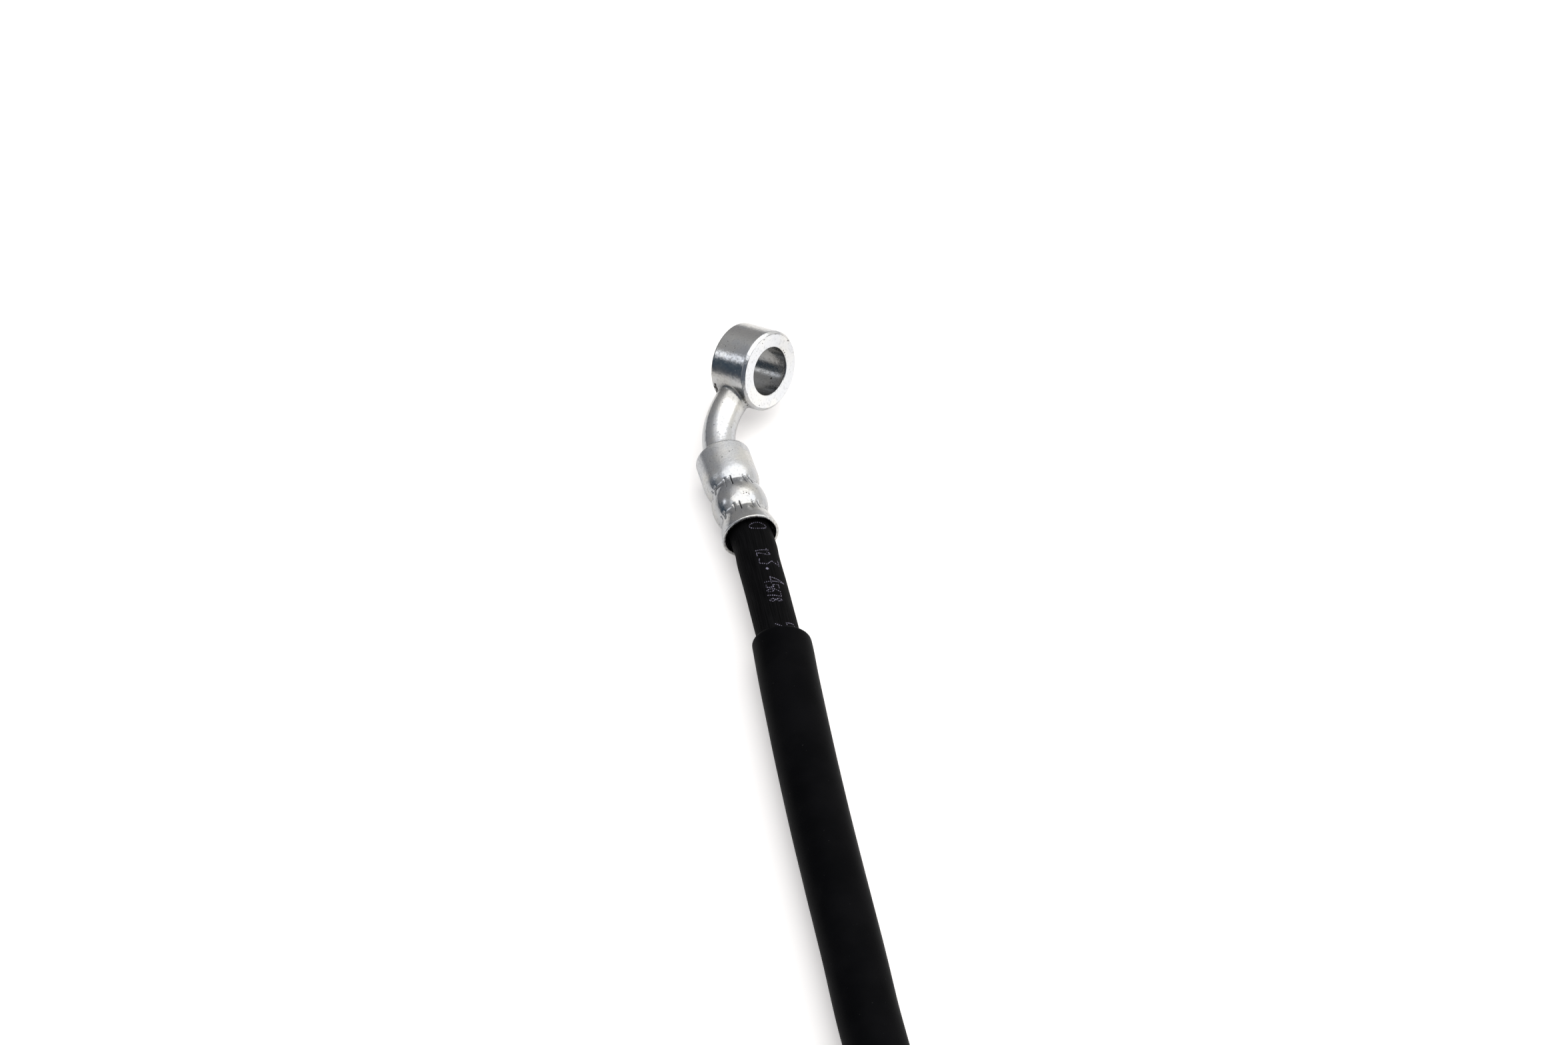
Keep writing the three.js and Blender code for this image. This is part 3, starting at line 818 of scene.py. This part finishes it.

# %% [markdown]
# The two faces are cut last and stay the brightest, partly by a painted reflection of the bright
# table, with a faint cloud on the side away from the neck. The bore is duller, and the drilled hole
# is darkened by painted shade. Dirt stays in the corner round each face, in patches, and the heat of
# the brazing leaves a stain round the neck's foot. All of it goes into the attribute that scales the
# colour.

# %% Painted reflection, painted shade, dirt and stains on the eye
# The faces' extra brightness is partly a painted reflection, and the hole's darkness is painted shade.
CUT_FACE_WITH_PAINTED_REFLECTION, OLD_BORE, HOLE_PAINTED_SHADE = 1.47, 0.56, 0.12
FACE_CLOUD = 0.22
CLOUD_WIDTH = 0.42
EDGE_DIRT = 0.5
MEAN_DIRT = 0.7
DIRT_PATCH = 3.0
FOOT_STAIN = 0.30
STAIN_WIDTH = 1.3

on_face = np.abs(eye_height) > EYE_HALF_WIDTH - 0.01
in_bore = np.abs(eye_radius - EYE_BORE_RADIUS) < 0.05
in_hole = np.abs(eye_radius - EYE_BORE_RADIUS - HOLE_DEPTH) < 0.01
# Painted shade in the hole and the faces' partly painted reflection go in here.
eye_clean = np.select([in_hole, on_face, in_bore], [HOLE_PAINTED_SHADE, CUT_FACE_WITH_PAINTED_REFLECTION, OLD_BORE], 1.0)
eye_clean -= FACE_CLOUD * on_face * bump(np.sin(eye_turn / 2), CLOUD_WIDTH)
from_neck = np.hypot((eye_turn - math.pi) * EYE_RADIUS, eye_height) - STEM_RADIUS - BRAZE_FILLET
eye_clean -= FOOT_STAIN * bump(from_neck, STAIN_WIDTH) * (eye_radius > EYE_RADIUS - CHAMFER)
at_edge = (np.abs(eye_height) > EYE_HALF_WIDTH - 0.04) & (eye_radius > EYE_RADIUS - CHAMFER - 0.1)
eye_clean -= EDGE_DIRT * at_edge * (MEAN_DIRT + unevenness(eye_grid, DIRT_PATCH, seed=11))
print("clean, from", round(eye_clean.min(), 2), "to", round(eye_clean.max(), 2))

# %% Eyes
eyes = at_both_ends("eye_steel", eye_grid, run_along(eye_points), eye_angle * EYE_RADIUS,
                    ring=True, clean=eye_clean)

# %% [markdown]
# ## Helpers for the finishes
#
# A finish is a small network of nodes that ends in the Principled shader. The helpers below keep
# each network short: one makes any node, and the others stand for the few steps that every finish
# uses. A value that is the same everywhere goes straight onto the shader. The patterns read either
# the place in the piece's own frame, or its map named surface, where they follow its length.

# %% Helpers for nodes
def node(tree, kind, inputs=None, **settings):
    """A node of a kind with its settings. An input is a number, a colour or another node's output."""
    made = tree.nodes.new("ShaderNode" + kind)
    for key, value in settings.items():
        setattr(made, key, value)
    for key, value in (inputs or {}).items():
        if isinstance(value, bpy.types.NodeSocket):
            tree.links.new(value, made.inputs[key])
        else:
            made.inputs[key].default_value = value
    return made


def new_material(name, **inputs):
    """A material with its node tree and its Principled shader, whose inputs are set by name."""
    material = bpy.data.materials.new(name)
    material.use_nodes = True
    shader = material.node_tree.nodes["Principled BSDF"]
    for key, value in inputs.items():
        shader.inputs[key.replace("_", " ")].default_value = value
    return material, material.node_tree, shader


# %% Steps that the finishes share
def noise(tree, place, scale, detail=2.0):
    """Cloudy noise about 0.5, at so many grains to a unit of the place."""
    inputs = {"Vector": place, "Scale": scale, "Detail": detail}
    return node(tree, "TexNoise", inputs).outputs[0]


def ramp(tree, value, low, high, to_low=0.0, to_high=1.0):
    """Turns a value between low and high smoothly into one between two others."""
    inputs = {"Value": value, "From Min": low, "From Max": high, "To Min": to_low, "To Max": to_high}
    return node(tree, "MapRange", inputs, interpolation_type="SMOOTHSTEP").outputs[0]


def blend(tree, share, first_colour, second_colour):
    """Mixes two colours by a share."""
    return node(tree, "Mix", {0: share, 6: first_colour, 7: second_colour}, data_type="RGBA").outputs[2]


def relief(tree, height, distance, strength=1.0, below=None):
    """Fine relief from a height, in metres, laid over another one if it is given."""
    inputs = {"Height": height, "Distance": distance, "Strength": strength}
    if below is not None:
        inputs["Normal"] = below
    return node(tree, "Bump", inputs).outputs[0]


def maths(tree, operation, *values):
    """A sum, product or the like of numbers and other nodes' outputs, in their order."""
    return node(tree, "Math", dict(enumerate(values)), operation=operation).outputs[0]


def vectors(tree, operation, *values):
    """The same for vectors. A dot product or a distance comes out as a number."""
    made = node(tree, "VectorMath", dict(enumerate(values)), operation=operation)
    return made.outputs["Value" if operation in ("DOT_PRODUCT", "DISTANCE") else "Vector"]


def surface_map(tree, across, along):
    """Places in mm round and along a piece, each stretched by its own factor."""
    places = node(tree, "UVMap", uv_map="surface").outputs[0]
    return node(tree, "Mapping", {"Vector": places, "Scale": (across, along, 1)}).outputs[0]


# %% [markdown]
# ## Plated steel
#
# The fittings are plated with zinc: a pale grey, cloudy metal, a little blue in one place and a
# little yellow in another. It is neither a mirror nor matt, and its fine grain breaks a highlight
# into specks. Handling leaves small dark flecks. A metal shows mostly what is around it, so the
# colour stays nearly plain and most of the work is in the roughness and the relief. An attribute on
# each piece scales the colour: rubbed, dirty and stained places are darker and get a roughness of
# their own, the slits and the drilled hole are darker by painted shade, the lip of the ferrule
# carries a painted highlight, and the freshly cut faces are brighter, partly by a painted reflection.

# %% Colours and grain of the plate
COOL_PLATE = (0.55, 0.56, 0.575, 1)
WARM_PLATE = (0.62, 0.61, 0.585, 1)
DULL_PLATE = (0.30, 0.30, 0.30, 1)
# Flecks and the listed spots take this dark colour, including the spots that are painted shade.
DARK_FLECK_AND_SHADE = (0.07, 0.066, 0.062, 1)
CLOUDS, GRAINS, FLECKS, RAGGED = 130.0, 1500.0, 2300.0, 2500.0  # to a metre
WOBBLE = 0.0005
DULL_SHARE = 0.38  # the most that a dull grain hides of the plate's colour
RUBBED_AT, FRESH_AT = 0.86, 1.0  # values of clean between which the roughness changes
FLECK_ROUGHNESS = 0.3  # how much rougher a fleck is
GRAIN_HEIGHT, PIT_DEPTH = 0.00004, 0.00005
LINES = (0.03, 5.0)  # to a mm, round the piece and along it
print("plate: grains of about", round(1 / GRAINS / MM, 2), "mm, flecks of", round(1 / FLECKS / MM, 2))


# %% Spots listed one by one
def wobbled(tree, place, amount):
    """A place moved by noise, so that a round mark gets a ragged edge."""
    cloud = node(tree, "TexNoise", {"Vector": place, "Scale": RAGGED, "Detail": 2.0}).outputs["Color"]
    shift = vectors(tree, "MULTIPLY_ADD", cloud, (amount,) * 3, (-amount / 2,) * 3)
    return vectors(tree, "ADD", place, shift)


def spot_share(tree, place, spots):
    """1 inside any of the spots, each given by its middle in mm and its radius, and 0 outside."""
    share = 0.0
    for middle, radius in spots:
        away = vectors(tree, "DISTANCE", place, tuple(np.array(middle) * MM))
        spot = ramp(tree, away, 0.7 * radius * MM, 1.3 * radius * MM, 1.0, 0.0)
        share = maths(tree, "MAXIMUM", share, spot)
    return share


# %% Plated steel
def plated(name, roughness, rubbed, fleck_level, line_relief, spots):
    """Zinc plate: cloudy colour, dull grains, flecks, fine turned lines and named dark spots, a few of
    which are painted shade. Its roughness goes from the first number on unmarked plate to the second
    where the attribute makes the colour darker, by rubbing, dirt or painted shade."""
    material, tree, shader = new_material(name, Metallic=1.0)
    place = node(tree, "TexCoord").outputs["Object"]
    cloud = noise(tree, place, CLOUDS, 3.0)
    grain = noise(tree, place, GRAINS, 4.0)
    fleck = ramp(tree, noise(tree, place, FLECKS, 1.0), fleck_level, fleck_level + 0.03)
    dark = maths(tree, "MAXIMUM", fleck, spot_share(tree, wobbled(tree, place, WOBBLE), spots))
    plate = blend(tree, ramp(tree, cloud, 0.38, 0.62), COOL_PLATE, WARM_PLATE)
    plate = blend(tree, ramp(tree, grain, 0.53, 0.71, 0.0, DULL_SHARE), plate, DULL_PLATE)
    # The attribute holds dirt and wear, and painted shade and painted highlights as well.
    clean = node(tree, "Attribute", attribute_name="clean").outputs["Fac"]
    plate = node(tree, "VectorMath", {0: plate, "Scale": clean}, operation="SCALE").outputs[0]
    tree.links.new(blend(tree, dark, plate, DARK_FLECK_AND_SHADE), shader.inputs["Base Color"])
    rough = ramp(tree, clean, RUBBED_AT, FRESH_AT, rubbed, roughness)
    rough = maths(tree, "ADD", rough, ramp(tree, grain, 0.3, 0.7, -0.06, 0.08))
    rough = maths(tree, "MULTIPLY_ADD", dark, FLECK_ROUGHNESS, rough)
    tree.links.new(rough, shader.inputs["Roughness"])
    lines = noise(tree, surface_map(tree, *LINES), 1.0, 3.0)
    turned = relief(tree, lines, line_relief)
    grained = relief(tree, grain, GRAIN_HEIGHT, 0.8, below=turned)
    pitted = relief(tree, dark, -PIT_DEPTH, 1.0, below=grained)
    tree.links.new(pitted, shader.inputs["Normal"])
    print("finish:", name, "with", len(tree.nodes), "nodes")
    return material


# %% [markdown]
# The real dark spots on the fittings are few and irregular, so each is listed one by one. Two on the
# eye and two on the neck are painted shade, in the gap where the neck meets the eye. The eye is
# turned and smoothest, the pipe is drawn and a little rougher, and the ferrule is pressed sheet: dull
# where it is untouched, and polished by the jaws where it is squeezed.

# %% Three kinds of plated steel
# The second and third spots are painted shade in the gap where the neck meets the eye.
EYE_SPOTS_AND_GAP_SHADE = [  # middle and radius in mm
    ((-21.6, 223.5, 9.4), 0.26), ((-36.5, 220.1, 13.1), 0.40), ((-36.4, 220.0, 12.2), 0.60),
    ((-23.6, 222.2, 24.4), 0.20), ((-16.7, 226.3, 19.1), 0.20), ((-20.2, 224.9, 23.4), 0.18),
    ((-23.5, 230.8, 21.2), 0.15), ((-33.1, 224.3, 22.0), 0.16), ((-31.1, 222.3, 22.9), 0.15),
    ((-32.3, 225.4, 22.5), 0.11), ((-31.7, 216.0, 19.0), 0.14), ((-26.4, 214.1, 9.7), 0.18),
    ((-18.0, 224.4, 17.0), 0.17), ((-18.3, 224.4, 17.7), 0.16), ((-17.8, 224.2, 16.2), 0.14),
]
# The first two spots are painted shade in the gap where the neck meets the eye.
NECK_SPOTS_AND_GAP_SHADE = [
    ((-36.2, 219.8, 10.9), 0.70), ((-36.4, 219.9, 11.9), 0.75), ((-30.1, 213.4, 12.1), 0.20),
    ((-29.5, 213.5, 10.9), 0.24), ((-30.7, 212.9, 11.0), 0.16), ((-38.5, 204.8, 11.6), 0.14),
    ((-39.1, 207.4, 11.7), 0.11), ((-34.8, 206.9, 10.6), 0.12),
]
FERRULE_SPOTS = [
    ((-37.3, 195.1, 14.2), 0.13), ((-36.4, 195.8, 14.0), 0.11), ((-39.4, 193.7, 14.0), 0.16),
    ((-42.5, 194.5, 12.5), 0.13), ((-43.3, 192.8, 11.5), 0.13), ((-35.6, 180.6, 13.9), 0.16),
    ((-36.3, 180.5, 13.9), 0.13), ((-35.1, 180.4, 13.7), 0.11),
]
# Roughness of fresh and of rubbed plate, the level of the noise that is a fleck, depth of the lines.
eye_plate = plated("turned_plate", 0.17, 0.20, 0.755, 0.000008, EYE_SPOTS_AND_GAP_SHADE)
neck_plate = plated("bent_pipe_plate", 0.19, 0.26, 0.76, 0.000004, NECK_SPOTS_AND_GAP_SHADE)
ferrule_plate = plated("pressed_plate", 0.30, 0.18, 0.75, 0.000004, FERRULE_SPOTS)

# %% [markdown]
# ## Rubber and print
#
# The hose's rubber takes the pattern of the braid under it, as fine dull streaks along its length.
# The sleeve is smoother, with faint cloudy patches and hardly any dust. Both are deep black: a real
# black rubber sends back less than one part in a hundred of the light, so their colours are far
# darker than a screen's grey looks, and hardly any gloss is left on them.

# %% Rubber of the hose
HOSE_BLACK = (0.0026, 0.0026, 0.0028, 1)
HOSE_STREAK = (0.0068, 0.0067, 0.0072, 1)
HOSE_WORN = (0.0085, 0.0085, 0.0092, 1)
WORN_SHARE = 0.4
STREAKS_TO_MM, WORN_TO_MM = (3.2, 0.10), (0.35, 0.12)  # round the hose and along it
STREAK_HEIGHT = 0.00006

hose_finish, tree, shader = new_material("braided_hose_rubber", Specular_IOR_Level=0.008)
streaks = noise(tree, surface_map(tree, *STREAKS_TO_MM), 1.0, 4.0)
worn = noise(tree, surface_map(tree, *WORN_TO_MM), 1.0, 2.0)
hose_colour = blend(tree, ramp(tree, streaks, 0.35, 0.7), HOSE_BLACK, HOSE_STREAK)
hose_colour = blend(tree, ramp(tree, worn, 0.45, 0.75, 0.0, WORN_SHARE), hose_colour, HOSE_WORN)
tree.links.new(hose_colour, shader.inputs["Base Color"])
tree.links.new(ramp(tree, streaks, 0.3, 0.7, 0.40, 0.58), shader.inputs["Roughness"])
tree.links.new(relief(tree, streaks, STREAK_HEIGHT), shader.inputs["Normal"])
hose.data.materials.append(hose_finish)
print("finish:", hose_finish.name, "with", len(tree.nodes), "nodes")

# %% Rubber of the sleeve
SLEEVE_BLACK = (0.0024, 0.0025, 0.0029, 1)
SLEEVE_PATCH = (0.0042, 0.0042, 0.0048, 1)
DUST = (0.02, 0.02, 0.02, 1)
SLEEVE_PATCHES, DUST_SPECKS, SKIN_GRAINS = 90.0, 1500.0, 2600.0  # to a metre
SKIN_HEIGHT = 0.00002

sleeve_finish, tree, shader = new_material("smooth_sleeve_rubber", Specular_IOR_Level=0.010)
place = node(tree, "TexCoord").outputs["Object"]
patches = noise(tree, place, SLEEVE_PATCHES, 3.0)
skin_grain = noise(tree, place, SKIN_GRAINS, 2.0)
dust = ramp(tree, noise(tree, place, DUST_SPECKS, 1.0), 0.785, 0.805)
sleeve_colour = blend(tree, ramp(tree, patches, 0.35, 0.7), SLEEVE_BLACK, SLEEVE_PATCH)
sleeve_colour = blend(tree, dust, sleeve_colour, DUST)
tree.links.new(sleeve_colour, shader.inputs["Base Color"])
tree.links.new(ramp(tree, patches, 0.3, 0.7, 0.36, 0.46), shader.inputs["Roughness"])
tree.links.new(relief(tree, skin_grain, SKIN_HEIGHT), shader.inputs["Normal"])
sleeve.data.materials.append(sleeve_finish)
print("finish:", sleeve_finish.name, "with", len(tree.nodes), "nodes")

# %% Print and steel on their pieces
WORN_PRINT = (0.04, 0.037, 0.055, 1)
PRINT_INK = (0.19, 0.178, 0.24, 1)
WEAR_SPOTS = 1400.0  # to a metre

print_finish, tree, shader = new_material("pale_print", Roughness=0.6, Specular_IOR_Level=0.3)
place = node(tree, "TexCoord").outputs["Object"]
wear = noise(tree, place, WEAR_SPOTS, 2.0)
ink = blend(tree, ramp(tree, wear, 0.35, 0.62), WORN_PRINT, PRINT_INK)
tree.links.new(ink, shader.inputs["Base Color"])
printed_figures.data.materials.append(print_finish)
for letter in FITTINGS:
    ferrules[letter].data.materials.append(ferrule_plate)
    necks[letter].data.materials.append(neck_plate)
    eyes[letter].data.materials.append(eye_plate)
print("materials:", len(bpy.data.materials))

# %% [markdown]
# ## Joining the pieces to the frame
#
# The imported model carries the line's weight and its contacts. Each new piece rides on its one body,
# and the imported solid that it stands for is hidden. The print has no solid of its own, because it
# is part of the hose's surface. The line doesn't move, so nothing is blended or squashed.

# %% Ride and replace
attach(hose, "root")
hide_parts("hose")
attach(sleeve, "root")
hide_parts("sleeve")
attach(printed_figures, "root")
NODE_STEMS = {"ferrule": "crimp_ferrule", "neck": "bent_stem", "eye": "banjo_eye"}
for kind, pieces in (("ferrule", ferrules), ("neck", necks), ("eye", eyes)):
    for letter, piece in pieces.items():
        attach(piece, "root")
        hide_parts(f"{NODE_STEMS[kind]}_{letter}")
print("pieces joined:", 3 + len(ferrules) + len(necks) + len(eyes))

# %% [markdown]
# ## The table
#
# The line lies on a white table that is bright enough to lose its edges. A white that is only lit
# would need too much light on the line, so the white paint, which takes the line's shadow, has a
# glow added to it that only the camera and reflections see. The real table ends on the left and
# gets darker towards the back, and shiny metal shows both. Here only reflections see that, so that
# the table stays plain from every side.

# %% Table
TABLE_HALF = 12.0
WHITE_PAINT = (0.95, 0.935, 0.92, 1)
GLOW_TO_CAMERA = 0.27
GLOW_TO_GLOSS = 0.06
GLOW = (1.0, 0.96, 0.94, 1)

mesh = bpy.data.meshes.new("table")
mesh.from_pydata([(-TABLE_HALF, -TABLE_HALF, 0), (TABLE_HALF, -TABLE_HALF, 0),
                  (TABLE_HALF, TABLE_HALF, 0), (-TABLE_HALF, TABLE_HALF, 0)], [], [(0, 1, 2, 3)])
table = bpy.data.objects.new("table", mesh)
scene.collection.objects.link(table)
table_finish, tree, shader = new_material("white_table", Base_Color=WHITE_PAINT,
                                          Roughness=0.9, Specular_IOR_Level=0.1)
ray = node(tree, "LightPath").outputs
seen = maths(tree, "MAXIMUM", ray["Is Camera Ray"], ray["Is Transmission Ray"])
gloss = maths(tree, "MULTIPLY", ray["Is Glossy Ray"], GLOW_TO_GLOSS)
glow = maths(tree, "MULTIPLY_ADD", seen, GLOW_TO_CAMERA, gloss)
white = node(tree, "Emission", {"Color": GLOW, "Strength": glow}).outputs[0]
both = node(tree, "AddShader", {0: shader.outputs[0], 1: white}).outputs[0]
print("table", 2 * TABLE_HALF, "m wide")

# %% What shiny metal sees of the table
TABLE_EDGE = 0.135
EDGE_SOFTNESS = 0.07
BACK_DIMS = (0.28, 0.55)  # m behind the middle of the part, where it starts and where it stops
BACK_SHARE = 0.55
PAST_THE_TABLE = (0.10, 0.11, 0.13, 1)

place = node(tree, "TexCoord").outputs["Object"]
leftward = vectors(tree, "DOT_PRODUCT", place, tuple(-RIGHT))
beyond = ramp(tree, leftward, TABLE_EDGE - EDGE_SOFTNESS, TABLE_EDGE + EDGE_SOFTNESS)
backward = vectors(tree, "DOT_PRODUCT", place, tuple(AWAY))
dimmer = ramp(tree, backward, *BACK_DIMS, 0.0, BACK_SHARE)
beyond = maths(tree, "MAXIMUM", beyond, dimmer)
beyond = maths(tree, "MULTIPLY", beyond, ray["Is Glossy Ray"])
dark = node(tree, "Emission", {"Color": PAST_THE_TABLE}).outputs[0]
seen_table = node(tree, "MixShader", {0: beyond, 1: both, 2: dark}).outputs[0]
tree.links.new(seen_table, tree.nodes["Material Output"].inputs["Surface"])
mesh.materials.append(table_finish)
print("finish:", table_finish.name, "with", len(tree.nodes), "nodes")

# %% [markdown]
# ## The light
#
# Polished metal is a map of the room, so the room matters more than any lamp. The light is one large
# bright patch above and to the right, a pale wall on the right, and smaller bright patches high up on
# the left. Against them stand a grey room on the left, a dark band there with a small window above
# it, and the dark side behind the camera. They are painted on the world by direction:
# how far a direction is from a patch's middle decides how much of the patch it sees, and a later
# patch covers an earlier one. The world stays fixed when the camera moves, so every side of the line
# is lit as it would be in a room.

# %% Room
GREY_ROOM = (0.42, 0.425, 0.435, 1)
PATCHES = [  # degrees to the right of straight away and up, radius and soft edge, then colour
    (72, 14, 50, 18, (1.05, 1.03, 0.99, 1)),
    (180, 8, 42, 14, (0.16, 0.18, 0.22, 1)),
    (-18, 0, 24, 12, (0.34, 0.34, 0.35, 1)),
    (-60, 6, 20, 12, (0.32, 0.32, 0.33, 1)),
    (-98, 0, 22, 9, (0.06, 0.085, 0.115, 1)),
    (-20, 62, 18, 13, (1.0, 1.0, 1.02, 1)),
    (-102, 55, 11, 5, (1.0, 1.05, 1.15, 1)),
    (-80, 68, 13, 6, (2.0, 2.0, 2.0, 1)),
    (-84, 26, 6, 4, (1.65, 1.7, 1.8, 1)),
    (80, 67, 41, 6, (2.0, 2.0, 2.0, 1)),
]


def direction(azimuth, elevation):
    """Unit direction at an azimuth from straight away from the camera, to its right, in degrees:
    cos(elevation) * (cos(azimuth) * away + sin(azimuth) * right) + sin(elevation) * up."""
    azimuth, elevation = math.radians(azimuth), math.radians(elevation)
    level = math.cos(azimuth) * AWAY + math.sin(azimuth) * RIGHT
    return math.cos(elevation) * level + math.sin(elevation) * UP


world = bpy.data.worlds.new("studio")
scene.world = world
world.use_nodes = True
tree = world.node_tree
looking = node(tree, "TexCoord").outputs["Generated"]
room = GREY_ROOM
for azimuth, elevation, radius, soft, colour in PATCHES:
    middle = tuple(direction(azimuth, elevation))
    nearness = vectors(tree, "DOT_PRODUCT", looking, middle)
    outer, full = (math.cos(math.radians(radius + step)) for step in (soft, -soft))
    room = blend(tree, ramp(tree, nearness, outer, full), room, colour)
tree.links.new(room, tree.nodes["Background"].inputs["Color"])
print("room of", len(PATCHES), "patches")
